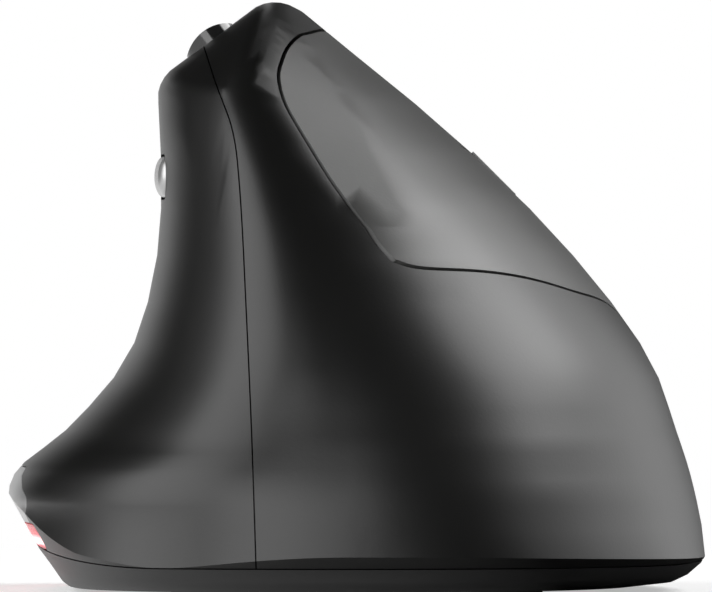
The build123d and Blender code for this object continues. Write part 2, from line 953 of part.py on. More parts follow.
def make_wheel_cradle():
    """The cradle that carries the axle and slides on two pins when the wheel is pressed."""
    rails = None
    for side in (-1, 1):
        pair = tuple(sorted((side * cradle_inner, side * cradle_outer)))
        rail = block((-cradle_back, cradle_front), pair, (-cradle_low, -cradle_bar_top))
        top = -wheel_depth + hub_boss_radius
        lug = block(around(wheel_forward, cradle_lug * 2), pair, (-cradle_low, top))
        rails = rail + lug if rails is None else rails + rail + lug
    outer_pair = (-cradle_outer, cradle_outer)
    level = (-cradle_low, -cradle_bar_top)
    rear_end = cradle_back - guide_back * 2
    rails = rails + block((-cradle_back, rear_end), outer_pair, level)
    rails = rails + block((cradle_front - cradle_bar_width, cradle_front), outer_pair, level)
    axle_bore = across_rod(axle_radius + running_gap, half_width, wheel_forward, wheel_depth)
    cradle = on_slope(rails) - axle_bore
    for side in (-1, 1):
        bore = slope_rod(
            guide_radius + running_gap, -guide_back, side * guide_spread, 0, deck_top
        )
        cradle = cradle - bore
    return largest(cradle)


def make_middle_plunger():
    top, foot = cradle_low, finger_board_top - part_gap - wheel_click
    return slope_rod(plunger_radius, -guide_back, 0, top, foot)


def make_middle_switch():
    """The flat switch under the cradle, pressed when the wheel is pushed in."""
    body = block(
        around(-guide_back, tact_width - part_gap), around(0, tact_width - part_gap),
        (-finger_board_top, -finger_board_top + tact_low),
    )
    bore = slope_rod(plunger_radius + running_gap, -guide_back, 0, 0, deck_top)
    return largest(on_slope(body) - bore)


def make_light_sensor(side):
    """One half of the light gate that counts the wheel's slots."""
    near = cradle_outer + part_gap
    pair = tuple(sorted((side * near, side * (near + detector_width))))
    shape = block(
        around(detector_forward, detector_length), pair,
        (-finger_board_top, -finger_board_top + detector_height),
    )
    return on_slope(shape)


# Finger board and the frame under it

def board_window():
    window = stadium(wheel_window_length, wheel_window_width, panel_depth)
    return on_slope(window, wheel_forward, depth=panel_depth)


def finger_screw_places():
    back = -finger_board_back + finger_screw_inset
    front = finger_board_front - finger_screw_inset
    across = finger_board_reach - finger_screw_inset
    return [(along, side * across) for along in (back, front) for side in (-1, 1)]


def make_finger_board():
    """The board under the keys, open for the wheel and the cradle's pins."""
    plate = block(
        (-finger_board_back, finger_board_front), (-finger_board_reach, finger_board_reach),
        (-deck_top, -finger_board_top),
    )
    plate = on_slope(plate) - board_window()
    for side in (-1, 1):
        across = side * guide_spread
        plate = plate - slope_rod(guide_radius + running_gap, -guide_back, across, 0, deck_bottom)
    for along, across in finger_screw_places():
        plate = plate - slope_bore(along, across, 0, deck_bottom)
    return largest(plate)


frame_rear = frame_rear_share * half_length
frame_front = frame_rear + frame_length


def frame_plate(x_pair, top, with_arm):
    """A wall of the frame, with an arm towards the thumb board and a window."""
    points = [(frame_rear, frame_bottom), (frame_front, frame_bottom), (frame_front, top)]
    if with_arm:
        arm_end = frame_rear - frame_arm_back
        low = top - frame_arm_drop
        points += [(arm_end, top), (arm_end, low), (frame_rear, low - frame_arm_drop)]
    else:
        points += [(frame_rear, top)]
    plate = side_prism(points, 0, x_pair)
    inset = frame_length * (1 - frame_window_share) / 2
    window_top = (low - frame_arm_drop) if with_arm else (top - inset)
    window = block(
        x_pair, (frame_rear + inset, frame_front - inset), (frame_bottom + inset, window_top)
    )
    return plate - window


def frame_feet():
    """Places of the frame's four feet: X and Y ranges."""
    feet = []
    thumb_pair = (frame_thumb_x - frame_foot_width, frame_thumb_x + frame_wall)
    finger_pair = (frame_finger_x, frame_finger_x + frame_wall + frame_foot_width)
    for x_pair in (thumb_pair, finger_pair):
        feet.append((x_pair, (frame_rear, frame_rear + frame_foot_length)))
        feet.append((x_pair, (frame_front - frame_foot_length, frame_front)))
    return feet


def frame_screw_places():
    places = []
    for x_pair, y_pair in frame_feet():
        outward = frame_foot_width / 2
        x = x_pair[0] + outward if x_pair[0] < 0 else x_pair[1] - outward
        places.append((x, (y_pair[0] + y_pair[1]) / 2))
    return places


def standoff_places():
    first = thumb_board_rear + standoff_inset
    return [first, first + standoff_pitch]


def side_bore(depth):
    """The hole of a small screw that goes in along +X."""
    return Rot(0, quarter_turn, 0) * small_rod(small_screw_radius, depth, 0)


def make_inner_frame():
    """The frame: two walls on feet, a sloping deck, the cradle's pins and two standoffs."""
    plate = block(
        (-deck_back, finger_board_front - part_gap), (-finger_board_reach, finger_board_reach),
        (-deck_bottom, -deck_top),
    )
    frame = on_slope(plate) - board_window()
    thumb_wall = (frame_thumb_x, frame_thumb_x + frame_wall)
    finger_wall = (frame_finger_x, frame_finger_x + frame_wall)
    frame = frame + frame_plate(thumb_wall, frame_thumb_top, True)
    frame = frame + frame_plate(finger_wall, frame_finger_top, False)
    for x_pair, y_pair in frame_feet():
        frame = frame + block(x_pair, y_pair, (frame_bottom, frame_bottom + pad_height))
    for x, y in frame_screw_places():
        frame = frame - Pos(x, y, 0) * small_rod(screw_radius, frame_bottom + pad_height, 0)
    for side in (-1, 1):
        across = side * guide_spread
        pin = slope_rod(guide_radius, -guide_back, across, guide_pin_top, deck_bottom)
        frame = frame + pin
    for along, across in finger_screw_places() + panel_post_places():
        frame = frame - slope_bore(along, across, deck_top - deck, deck_bottom)
    for y in standoff_places():
        near, far = thumb_board_x + board, frame_thumb_x + frame_wall / 2
        standoff = Rot(0, quarter_turn, 0) * Cylinder(standoff_radius, far - near)
        frame = frame + Pos((near + far) / 2, y, standoff_level) * standoff
        frame = frame - Pos(near, y, standoff_level) * side_bore(standoff_screw_length)
    return largest(frame)


def screw(radius, head_radius, shank_length):
    """A screw along Z with its head above zero and its shank below."""
    return small_rod(head_radius, screw_head, 0) + small_rod(radius, 0, -shank_length)


def make_frame_screws():
    top = frame_bottom + pad_height
    one = screw(screw_radius, screw_head_radius, frame_screw_length)
    return [Pos(x, y, top) * one for x, y in frame_screw_places()]


def make_deck_screws():
    """Screws through the finger board, and from below into the panel's posts."""
    over = screw(screw_radius, screw_head_radius, board + deck)
    under = screw(screw_radius, screw_head_radius, deck + frame_screw_length)
    flipped = Rot(quarter_turn * 2, 0, 0) * under
    solids = [
        on_slope(over, along, across, finger_board_top) for along, across in finger_screw_places()
    ]
    solids += [
        on_slope(flipped, along, across, deck_bottom) for along, across in panel_post_places()
    ]
    return solids


# Thumb buttons, their switches and their board

def x_rod(radius, x_pair, y, z):
    shape = Rot(0, quarter_turn, 0) * Cylinder(radius, x_pair[1] - x_pair[0])
    return Pos((x_pair[0] + x_pair[1]) / 2, y, z) * shape


thumb_switch_x = thumb_board_x - tact_height
thumb_plunger_x = thumb_switch_x - plunger_proud
thumb_flange_x = thumb_plunger_x - thumb_stem


def make_thumb_button(index):
    """A thumb button: cap, flange behind the cover and stem on its switch."""
    deep = thumb_flange_x
    cap = thumb_button_tool(index, 0, (-half_width, deep))
    cap = cap & outer.moved(Pos(-thumb_button_proud, 0, 0))
    flange = thumb_button_tool(index, thumb_flange_lip, (-half_width, deep))
    keep = block((deep - thumb_flange_deep, deep), (-reach, reach), (0, height))
    y = thumb_button_middle(index)
    stem = x_rod(thumb_stem_radius, (deep, thumb_plunger_x), y, thumb_button_level)
    return largest(largest(cap) + (flange & keep & clear) + stem)


def make_thumb_plunger(index):
    pair = (thumb_plunger_x, thumb_switch_x + plunger_sunk)
    return x_rod(plunger_radius, pair, thumb_button_middle(index), thumb_button_level)


def make_thumb_switch(index):
    y = thumb_button_middle(index)
    body = block(
        (thumb_switch_x, thumb_board_x), around(y, tact_width),
        around(thumb_button_level, tact_width),
    )
    end = thumb_switch_x + plunger_sunk + thumb_button_travel + part_gap
    bore = x_rod(plunger_radius + running_gap, (thumb_plunger_x, end), y, thumb_button_level)
    return largest(body - bore)


def make_thumb_board():
    plate = block(
        (thumb_board_x, thumb_board_x + board),
        (thumb_board_rear, thumb_board_rear + thumb_board_length),
        (thumb_board_bottom, thumb_board_bottom + thumb_board_height),
    )
    for y in standoff_places():
        plate = plate - Pos(thumb_board_x, y, standoff_level) * side_bore(board)
    return largest(plate)


def make_thumb_screws():
    one = screw(small_screw_radius, small_head_radius, standoff_screw_length)
    turned = Rot(0, -quarter_turn, 0) * one
    return [Pos(thumb_board_x, y, standoff_level) * turned for y in standoff_places()]


# Resolution button, its switch and its board

dpi_switch_top = dpi_board_depth - tact_height


def make_dpi_button():
    """The crowned button on the top facet, with its flange and stem."""
    length_below = dpi_flange_depth
    cap = stadium(dpi_length, dpi_width, length_below + dpi_crown)
    cap = Pos(0, 0, -length_below) * cap
    radius = (dpi_width ** 2 / 4 + dpi_crown ** 2) / (dpi_crown * 2)
    crown = Pos(0, 0, dpi_crown - radius) * Rot(0, quarter_turn, 0) * Cylinder(radius, dpi_length)
    cap = cap & crown
    flange = stadium(
        dpi_length + dpi_flange_lip * 2, dpi_width + dpi_flange_lip * 2, dpi_flange
    )
    flange = Pos(0, 0, -dpi_flange_depth - dpi_flange) * flange
    stem_foot = dpi_switch_top - plunger_proud
    stem = rod(dpi_stem_radius, -dpi_flange_depth - dpi_flange, -stem_foot)
    return largest(on_facet(cap + flange + stem))


def make_dpi_plunger():
    top, foot = plunger_proud - dpi_switch_top, -dpi_switch_top - plunger_sunk
    return on_facet(rod(plunger_radius, top, foot))


def make_dpi_switch():
    body = block(
        around(0, tact_width), around(0, tact_width), (-dpi_board_depth, -dpi_switch_top)
    )
    end = dpi_switch_top + plunger_sunk + dpi_travel + part_gap
    return largest(on_facet(body - rod(plunger_radius + running_gap, -dpi_flange_depth, -end)))


def make_dpi_board():
    plate = block(
        around(0, dpi_board_length), around(0, dpi_board_width),
        (-dpi_board_depth - board, -dpi_board_depth),
    )
    plate = on_facet(plate)
    for side in (-1, 1):
        hole = small_rod(small_screw_radius, 0, -dpi_board_depth - board)
        plate = plate - on_facet(hole, side * dpi_post_along, -dpi_post_across)
    return largest(plate)


def make_dpi_screws():
    one = screw(small_screw_radius, small_head_radius, dpi_screw_length)
    turned = Rot(quarter_turn * 2, 0, 0) * one
    depth = dpi_board_depth + board
    return [on_facet(turned, side * dpi_post_along, -dpi_post_across, depth) for side in (-1, 1)]


# Base tray with the battery bay, and what sits on it

bay_rear = -half_length + bay_rear_gap
bay_front = bay_rear + battery_length + battery_nub + contact_space * 2
bay_half = battery_pitch / 2 + battery_radius + bay_clear
battery_level = door_top + bay_clear * 2 + battery_radius
bay_roof = battery_level + battery_radius + bay_clear


def bay_block(grow, z_pair):
    """A box over the plan of the battery bay, grown on all four sides."""
    return block(
        (-bay_half - grow, bay_half + grow), (bay_rear - grow, bay_front + grow), z_pair
    )


def main_board_boss_places():
    left = main_board_left + main_boss_inset
    right = main_board_left + main_board_width - main_boss_inset
    rear = main_board_rear + main_boss_inset
    front = main_board_rear + main_board_length - main_boss_inset
    return [(x, y) for x in (left, right) for y in (rear, front)]


sensor_x = main_board_left + main_board_width / 2


def foot_shape(inset, z_pair):
    outline = RectangleRounded(foot_width - inset * 2, foot_length - inset * 2, foot_round)
    return Pos(0, 0, z_pair[0]) * extrude(outline, z_pair[1] - z_pair[0])


def led_rails(y):
    """The pair of ribs that hold one end of the light board."""
    pair = around(led_board_x + led_board_thick / 2, led_board_thick + rail_wall * 2)
    rails = block(pair, around(y, rail_wall * 2), (floor_top, floor_top + rail_height))
    slot = block(
        around(led_board_x + led_board_thick / 2, led_board_thick), (-reach, reach),
        (floor_top, height),
    )
    return rails - slot


def make_base_tray():
    """The tray: floor and low sides, rim, battery bay, pads, bosses and openings."""
    tray = largest(shell & under_seam(0))
    rim_slab = block((-reach, reach), (-reach, reach), (floor_top, floor_top + rim_height))
    rim = (clear & rim_slab) - rim_inside
    for x, y in case_places():
        rim = rim - Pos(x, y, 0) * rod(case_boss_radius + part_gap, height, 0)
    tray = tray + largest(rim)
    bay = bay_block(bay_wall, (floor_top, bay_roof + bay_wall)) & clear
    tray = tray + bay
    for x, y in case_places():
        tray = tray + Pos(x, y, 0) * rod(case_boss_radius, case_boss_bottom, floor_top)
    for (x_pair, y_pair) in frame_feet():
        tray = tray + block(x_pair, y_pair, (floor_top, frame_bottom))
    for x, y in main_board_boss_places():
        tray = tray + Pos(x, y, 0) * rod(main_boss_radius, main_board_bottom, floor_top)
    for end in (0, led_board_length - rail_wall * 2):
        tray = tray + led_rails(led_board_rear + rail_wall + end)
    tray = tray - bay_block(0, (0, bay_roof))
    tray = tray - bay_block(door_margin, (0, door_top + door_seat))
    window = block(
        around(sensor_x, window_width), around(sensor_forward, window_length), (0, floor_top)
    )
    slot = block(
        around(sensor_x, power_slot_width), around(power_forward, power_slot_length),
        (0, floor_top),
    )
    tray = tray - window - slot
    seat = foot_proud + foot_recess
    for x, y in case_places():
        tray = tray - Pos(x, y, 0) * small_rod(screw_radius, case_boss_bottom, 0)
        tray = tray - Pos(x, y, 0) * rod(
            screw_head_radius + part_gap, seat + screw_sunk + screw_head, 0
        )
        tray = tray - Pos(x, y, 0) * foot_shape(-foot_gap, (0, seat))
    for x, y in main_board_boss_places():
        tray = tray - Pos(x, y, 0) * small_rod(screw_radius, main_board_bottom, floor_top)
    for x, y in frame_screw_places():
        bottom = frame_bottom + pad_height - frame_screw_length
        tray = tray - Pos(x, y, 0) * small_rod(screw_radius, frame_bottom, bottom)
    return largest(tray)


def make_battery_door():
    """The door under the batteries, with a notch for a fingernail."""
    door = bay_block(door_margin - door_gap, (foot_proud, door_top))
    notch = block(
        around(0, door_notch_length),
        (bay_front - door_notch_width, bay_front + overrun),
        (0, foot_proud + door_notch_depth),
    )
    return largest(door - notch)


def battery_middles():
    return [-battery_pitch / 2, battery_pitch / 2]


def make_batteries():
    """Two cells side by side, the second one turned round."""
    shell_part = Rot(quarter_turn, 0, 0) * Cylinder(battery_radius, battery_length)
    nub = Rot(quarter_turn, 0, 0) * Cylinder(battery_nub_radius, battery_nub)
    nub = Pos(0, (battery_length + battery_nub) / 2, 0) * nub
    cell = Pos(0, -battery_nub / 2, 0) * (shell_part + nub)
    middle = (bay_rear + bay_front) / 2
    left, right = battery_middles()
    return [
        Pos(left, middle, battery_level) * cell,
        Pos(right, middle, battery_level) * Rot(0, 0, quarter_turn * 2) * cell,
    ]


def make_contacts(end):
    """The two sprung contacts at one end of the bay."""
    wall = bay_rear if end < 0 else bay_front
    solids = []
    for x in battery_middles():
        face = wall - end * contact_sheet
        sheet = block(
            around(x, contact_width), sorted((wall, face)), around(battery_level, contact_width)
        )
        tip = wall - end * contact_space
        middle = (face + tip) / 2
        spring = Rot(quarter_turn, 0, 0) * Cylinder(battery_nub_radius, abs(tip - face))
        solids.append(sheet + Pos(x, middle, battery_level) * spring)
    return solids


def make_main_board():
    top = main_board_bottom + board
    plate = block(
        (main_board_left, main_board_left + main_board_width),
        (main_board_rear, main_board_rear + main_board_length),
        (main_board_bottom, top),
    )
    for x, y in main_board_boss_places():
        plate = plate - Pos(x, y, 0) * small_rod(screw_radius, top, 0)
    hole = lens_block_width + part_gap * 2
    plate = plate - block(around(sensor_x, hole), around(sensor_forward, hole), (0, top))
    return largest(plate)


def make_board_screws():
    one = screw(screw_radius, screw_head_radius, board_screw_length)
    top = main_board_bottom + board
    return [Pos(x, y, top) * one for x, y in main_board_boss_places()]


def make_sensor_chip():
    low = main_board_bottom + board
    return block(
        around(sensor_x, sensor_width), around(sensor_forward, sensor_width),
        (low, low + sensor_height),
    )


def make_sensor_lens():
    """The lens: a flange on the floor, a barrel in the window and a block up to the chip."""
    flange = block(
        around(sensor_x, window_width + lens_lip * 2),
        around(sensor_forward, window_length + lens_lip * 2),
        (floor_top, floor_top + lens_flange),
    )
    post = block(
        around(sensor_x, lens_block_width), around(sensor_forward, lens_block_width),
        (floor_top, main_board_bottom + board),
    )
    barrel = Pos(sensor_x, sensor_forward, 0) * rod(lens_barrel_radius, floor_top, lens_bottom)
    return largest(flange + post + barrel)


def make_controller_chip():
    low = main_board_bottom + board
    return block(
        around(sensor_x, chip_width), around(chip_forward, chip_width), (low, low + chip_height)
    )


def make_power_switch():
    body = block(
        around(sensor_x, power_width), around(power_forward, power_length),
        (power_body_bottom, main_board_bottom),
    )
    slot_length = power_stem + power_travel + part_gap * 2
    slot = block(
        around(sensor_x, power_stem + part_gap * 2), around(power_forward, slot_length),
        (0, power_body_bottom + power_stem),
    )
    return largest(body - slot)


def make_power_slider():
    """The slider of the power switch: knob, flange over the floor and stem."""
    y = power_forward - power_travel / 2
    knob = block(
        around(sensor_x, power_slot_width - part_gap * 2), around(y, power_knob_length),
        (power_knob_bottom, power_flange_bottom),
    )
    flange = block(
        around(sensor_x, power_width), around(y, power_flange_length),
        (power_flange_bottom, power_flange_bottom + power_flange),
    )
    stem = block(
        around(sensor_x, power_stem), around(y, power_stem),
        (power_flange_bottom, power_body_bottom + power_stem - part_gap),
    )
    return largest(knob + flange + stem)


def make_case_screws():
    one = screw(screw_radius, screw_head_radius, case_screw_length)
    one = Rot(quarter_turn * 2, 0, 0) * one
    head_seat = foot_proud + foot_recess + screw_sunk + screw_head
    return [Pos(x, y, head_seat) * one for x, y in case_places()]


def make_feet(indexes):
    feet = []
    for index in indexes:
        x, y = case_places()[index]
        foot = foot_shape(0, (0, foot_proud + foot_recess))
        feet.append(Pos(x, y, 0) * foot)
    return feet


def make_led_board():
    return block(
        (led_board_x, led_board_x + led_board_thick),
        (led_board_rear, led_board_rear + led_board_length),
        (floor_top, floor_top + led_board_height),
    )


def make_leds():
    pitch = led_board_length / led_count
    solids = []
    for index in range(led_count):
        y = led_board_rear + pitch * (index + 1 / 2)
        solids.append(block(
            (led_board_x - led_high, led_board_x), around(y, led_size),
            around(strip_bottom + strip_height / 2, led_size),
        ))
    return solids


# The nodes

nodes = {
    "thumb_cover": make_thumb_cover(),
    "palm_cover": make_palm_cover(),
    "finger_panel": make_finger_panel(),
    "left_button": make_key(left_key, 1),
    "right_button": make_key(right_key, -1),
    "left_plunger": make_key_plunger(1),
    "right_plunger": make_key_plunger(-1),
    "left_switch": make_key_switch(1),
    "right_switch": make_key_switch(-1),
    "wheel_hub": make_wheel_hub(),
    "wheel_tyre": make_wheel_tyre(),
    "wheel_axle": make_wheel_axle(),
    "wheel_cradle": make_wheel_cradle(),
    "middle_plunger": make_middle_plunger(),
    "middle_switch": make_middle_switch(),
    "wheel_emitter": make_light_sensor(1),
    "wheel_detector": make_light_sensor(-1),
    "finger_board": make_finger_board(),
    "inner_frame": make_inner_frame(),
    "frame_screws": make_frame_screws(),
    "deck_screws": make_deck_screws(),
    "thumb_trim": make_thumb_trim(),
    "light_strip": make_light_strip(),
    "back_button": make_thumb_button(0),
    "forward_button": make_thumb_button(1),
    "back_plunger": make_thumb_plunger(0),
    "forward_plunger": make_thumb_plunger(1),
    "back_switch": make_thumb_switch(0),
    "forward_switch": make_thumb_switch(1),
    "thumb_board": make_thumb_board(),
    "thumb_screws": make_thumb_screws(),
    "dpi_button": make_dpi_button(),
    "dpi_plunger": make_dpi_plunger(),
    "dpi_switch": make_dpi_switch(),
    "dpi_board": make_dpi_board(),
    "dpi_screws": make_dpi_screws(),
    "base_tray": make_base_tray(),
    "battery_door": make_battery_door(),
    "batteries": make_batteries(),
    "rear_contacts": make_contacts(-1),
    "front_contacts": make_contacts(1),
    "main_board": make_main_board(),
    "board_screws": make_board_screws(),
    "sensor_chip": make_sensor_chip(),
    "sensor_lens": make_sensor_lens(),
    "controller_chip": make_controller_chip(),
    "power_switch": make_power_switch(),
    "power_slider": make_power_slider(),
    "case_screws": make_case_screws(),
    "front_feet": make_feet((0, 1)),
    "rear_feet": make_feet((2, 3)),
    "led_board": make_led_board(),
    "leds": make_leds(),
}

os.makedirs("parts", exist_ok=True)
for name, shape in nodes.items():
    whole = Compound(shape) if isinstance(shape, list) else shape
    export_step(whole, f"parts/{name}.step")
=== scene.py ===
import json
import math

import bpy
import numpy as np
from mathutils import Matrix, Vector


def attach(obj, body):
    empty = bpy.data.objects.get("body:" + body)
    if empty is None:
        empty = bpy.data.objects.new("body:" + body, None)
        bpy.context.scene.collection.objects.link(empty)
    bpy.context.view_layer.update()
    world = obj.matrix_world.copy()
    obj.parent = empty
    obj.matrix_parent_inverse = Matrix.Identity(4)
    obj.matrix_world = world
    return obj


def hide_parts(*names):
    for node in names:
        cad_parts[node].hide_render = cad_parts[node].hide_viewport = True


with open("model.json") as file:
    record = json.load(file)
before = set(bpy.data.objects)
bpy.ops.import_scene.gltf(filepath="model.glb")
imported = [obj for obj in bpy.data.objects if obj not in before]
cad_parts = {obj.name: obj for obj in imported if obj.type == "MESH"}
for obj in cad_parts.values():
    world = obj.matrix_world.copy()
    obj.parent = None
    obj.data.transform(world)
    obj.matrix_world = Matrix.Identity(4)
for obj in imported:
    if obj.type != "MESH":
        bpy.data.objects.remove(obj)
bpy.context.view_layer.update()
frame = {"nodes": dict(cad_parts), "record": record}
nodes = frame["nodes"]
scene = bpy.context.scene
millimetres_per_metre = 1000.0


# Node helpers

def new_material(name):
    """A material whose tree holds only its shader and its output."""
    material = bpy.data.materials.new(name)
    material.use_nodes = True
    tree = material.node_tree
    shader = tree.nodes["Principled BSDF"]
    return material, tree, shader


def empty_material(name):
    """A material with no nodes yet."""
    material = bpy.data.materials.new(name)
    material.use_nodes = True
    material.node_tree.nodes.clear()
    return material, material.node_tree


def surfaced(tree, shader):
    """Puts a shader on the surface of a material that began empty."""
    output = tree.nodes.new("ShaderNodeOutputMaterial")
    tree.links.new(shader.outputs[0], output.inputs["Surface"])


def mixed(tree, share, first, second):
    """A mix of two shaders: the first where the share is 0, the second where it is 1."""
    mix = tree.nodes.new("ShaderNodeMixShader")
    tree.links.new(share, mix.inputs[0])
    tree.links.new(first.outputs[0], mix.inputs[1])
    tree.links.new(second.outputs[0], mix.inputs[2])
    return mix


def combined(tree, operation, first, second):
    """One value from two, by a maths node."""
    node = tree.nodes.new("ShaderNodeMath")
    node.operation = operation
    tree.links.new(first, node.inputs[0])
    tree.links.new(second, node.inputs[1])
    return node.outputs[0]


def object_place(tree):
    """A point's object coordinates."""
    return tree.nodes.new("ShaderNodeTexCoord").outputs["Object"]


def object_axis(tree, axis):
    """One of a point's object coordinates."""
    apart = tree.nodes.new("ShaderNodeSeparateXYZ")
    tree.links.new(object_place(tree), apart.inputs[0])
    return apart.outputs[axis]


def noise(tree, scale, detail=2.0, rough=0.5, stretch=None):
    """Noise in object coordinates: scale counts its patches in a metre."""
    source = object_place(tree)
    if stretch:
        mapping = tree.nodes.new("ShaderNodeMapping")
        mapping.inputs["Scale"].default_value = stretch
        tree.links.new(source, mapping.inputs["Vector"])
        source = mapping.outputs["Vector"]
    node = tree.nodes.new("ShaderNodeTexNoise")
    node.inputs["Scale"].default_value = scale
    node.inputs["Detail"].default_value = detail
    node.inputs["Roughness"].default_value = rough
    tree.links.new(source, node.inputs["Vector"])
    return node.outputs["Fac"]


def ranged(tree, source, low, high, start=0.0, end=1.0):
    """Maps a value from start..end to low..high."""
    node = tree.nodes.new("ShaderNodeMapRange")
    node.inputs["From Min"].default_value = start
    node.inputs["From Max"].default_value = end
    node.inputs["To Min"].default_value = low
    node.inputs["To Max"].default_value = high
    tree.links.new(source, node.inputs["Value"])
    return node.outputs["Result"]


def ramp(tree, source, stops):
    """A colour ramp from (place, colour) stops."""
    node = tree.nodes.new("ShaderNodeValToRGB")
    elements = node.color_ramp.elements
    while len(elements) < len(stops):
        elements.new(0.5)
    for element, (place, colour) in zip(elements, stops):
        element.position = place
        element.color = (*colour, 1.0)
    tree.links.new(source, node.inputs["Fac"])
    return node.outputs["Color"]


def two_tone(tree, source, dark, light, low=0.3, high=0.7):
    """From dark to light over the span where most of a noise's values lie."""
    return ramp(tree, source, [(low, dark), (high, light)])


def bump(tree, source, strength, distance):
    """Shading relief from a value: distance is its full height in metres."""
    node = tree.nodes.new("ShaderNodeBump")
    node.inputs["Strength"].default_value = strength
    node.inputs["Distance"].default_value = distance
    tree.links.new(source, node.inputs["Height"])
    return node.outputs["Normal"]


def grey(value, tint=(1.0, 1.0, 1.0)):
    """A grey, or a grey that leans to a tint."""
    return tuple(value * part for part in tint)


# Materials

mottle_scale = 60.0
handled_scale = 16.0
grain_strength = 0.35
brush_scale = 300.0
brush_stretch = (1.0, 1.0, 0.1)
brush_strength, brush_depth = 0.15, 0.00002
trace_scale = 420.0
trace_strength, trace_depth = 0.3, 0.00003
mask_over_trace = (0.010, 0.110, 0.035)
mask_over_board = (0.006, 0.070, 0.022)
mask_rough = 0.35
glow_low, glow_high = 0.0048, 0.0078
glow_ripple = 0.0002
glow_ripple_scale = 90.0
glow_strength = 1.2
glow_rough = 0.25
glow_specular = 0.1
glow_colours = (
    (0.0, (0.22, 0.010, 0.014)), (0.10, (0.70, 0.04, 0.06)), (0.20, (1.0, 0.55, 0.56)),
    (0.36, (1.0, 0.55, 0.56)), (0.55, (0.62, 0.04, 0.06)), (1.0, (0.40, 0.02, 0.03)),
)
glow_levels = ((0.0, 0.25), (0.20, 1.0), (0.36, 1.0), (0.55, 0.55), (1.0, 0.35))
acrylic_tint = (0.92, 0.95, 0.95, 1.0)
acrylic_ior = 1.49
haze_scale = 500.0
haze_rough = (0.02, 0.06)
sleeve_dark, sleeve_light = 0.20, 0.28
scuff_scale = 150.0
scuff_rough = (0.22, 0.4)
scuff_strength, scuff_depth = 0.2, 0.00003


def moulded(name, greys, rough, grain, depth, tint=(1.0, 1.0, 1.0), specular=0.5, coat=0.0,
            coat_rough=0.2, sheen=0.0, metallic=0.0):
    """Moulded or painted plastic: fine grain, faint mottling and handled patches."""
    material, tree, shader = new_material(name)
    mottling = noise(tree, mottle_scale, detail=4.0, rough=0.6)
    patches = noise(tree, handled_scale)
    fine = noise(tree, grain, rough=0.55)
    dark, light = (grey(value, tint) for value in greys)
    tree.links.new(two_tone(tree, mottling, dark, light), shader.inputs["Base Color"])
    roughness = ranged(tree, patches, *rough, start=0.3, end=0.7)
    tree.links.new(roughness, shader.inputs["Roughness"])
    tree.links.new(bump(tree, fine, grain_strength, depth), shader.inputs["Normal"])
    shader.inputs["Specular IOR Level"].default_value = specular
    shader.inputs["Coat Weight"].default_value = coat
    shader.inputs["Coat Roughness"].default_value = coat_rough
    shader.inputs["Sheen Weight"].default_value = sheen
    shader.inputs["Metallic"].default_value = metallic
    return material


def brushed(name, greys, rough):
    """Drawn or plated metal with fine lines along one axis."""
    material, tree, shader = new_material(name)
    lines = noise(tree, brush_scale, detail=3.0, rough=0.6, stretch=brush_stretch)
    dark, light = (grey(value) for value in greys)
    colour = two_tone(tree, lines, dark, light, low=0.25, high=0.75)
    tree.links.new(colour, shader.inputs["Base Color"])
    tree.links.new(ranged(tree, lines, rough * 0.8, rough * 1.3), shader.inputs["Roughness"])
    relief = bump(tree, lines, brush_strength, brush_depth)
    tree.links.new(relief, shader.inputs["Normal"])
    shader.inputs["Metallic"].default_value = 1.0
    return material


def circuit(name):
    """Solder mask with traces under it."""
    material, tree, shader = new_material(name)
    cells = tree.nodes.new("ShaderNodeTexVoronoi")
    cells.inputs["Scale"].default_value = trace_scale
    cells.distance = "MANHATTAN"
    tree.links.new(object_place(tree), cells.inputs["Vector"])
    apart = cells.outputs["Distance"]
    colour = two_tone(tree, apart, mask_over_trace, mask_over_board, low=0.25, high=0.45)
    tree.links.new(colour, shader.inputs["Base Color"])
    relief = bump(tree, apart, trace_strength, trace_depth)
    tree.links.new(relief, shader.inputs["Normal"])
    shader.inputs["Roughness"].default_value = mask_rough
    return material


def glowing(name):
    """A translucent red light guide with a white-hot core low down, dim at its edges."""
    material, tree, shader = new_material(name)
    ripple = ranged(tree, noise(tree, glow_ripple_scale), -glow_ripple, glow_ripple)
    level = combined(tree, "ADD", object_axis(tree, "Z"), ripple)
    share = ranged(tree, level, 0.0, 1.0, start=glow_low, end=glow_high)
    colour = ramp(tree, share, glow_colours)
    strength = ramp(tree, share, [(place, grey(value)) for place, value in glow_levels])
    tree.links.new(colour, shader.inputs["Base Color"])
    tree.links.new(colour, shader.inputs["Emission Color"])
    emission = ranged(tree, strength, 0.0, glow_strength)
    tree.links.new(emission, shader.inputs["Emission Strength"])
    shader.inputs["Roughness"].default_value = glow_rough
    shader.inputs["Specular IOR Level"].default_value = glow_specular
    return material


def clear(name):
    """Clear acrylic with a faint haze."""
    material, tree, shader = new_material(name)
    haze = ranged(tree, noise(tree, haze_scale), *haze_rough)
    tree.links.new(haze, shader.inputs["Roughness"])
    shader.inputs["Base Color"].default_value = acrylic_tint
    shader.inputs["Transmission Weight"].default_value = 1.0
    shader.inputs["IOR"].default_value = acrylic_ior
    return material


def wrapped(name):
    """The plain sleeve of a cell, a little scuffed."""
    material, tree, shader = new_material(name)
    scuffs = noise(tree, scuff_scale, detail=5.0, rough=0.7)
    colour = two_tone(tree, scuffs, grey(sleeve_dark), grey(sleeve_light))
    tree.links.new(colour, shader.inputs["Base Color"])
    tree.links.new(ranged(tree, scuffs, *scuff_rough), shader.inputs["Roughness"])
    relief = bump(tree, scuffs, scuff_strength, scuff_depth)
    tree.links.new(relief, shader.inputs["Normal"])
    return material


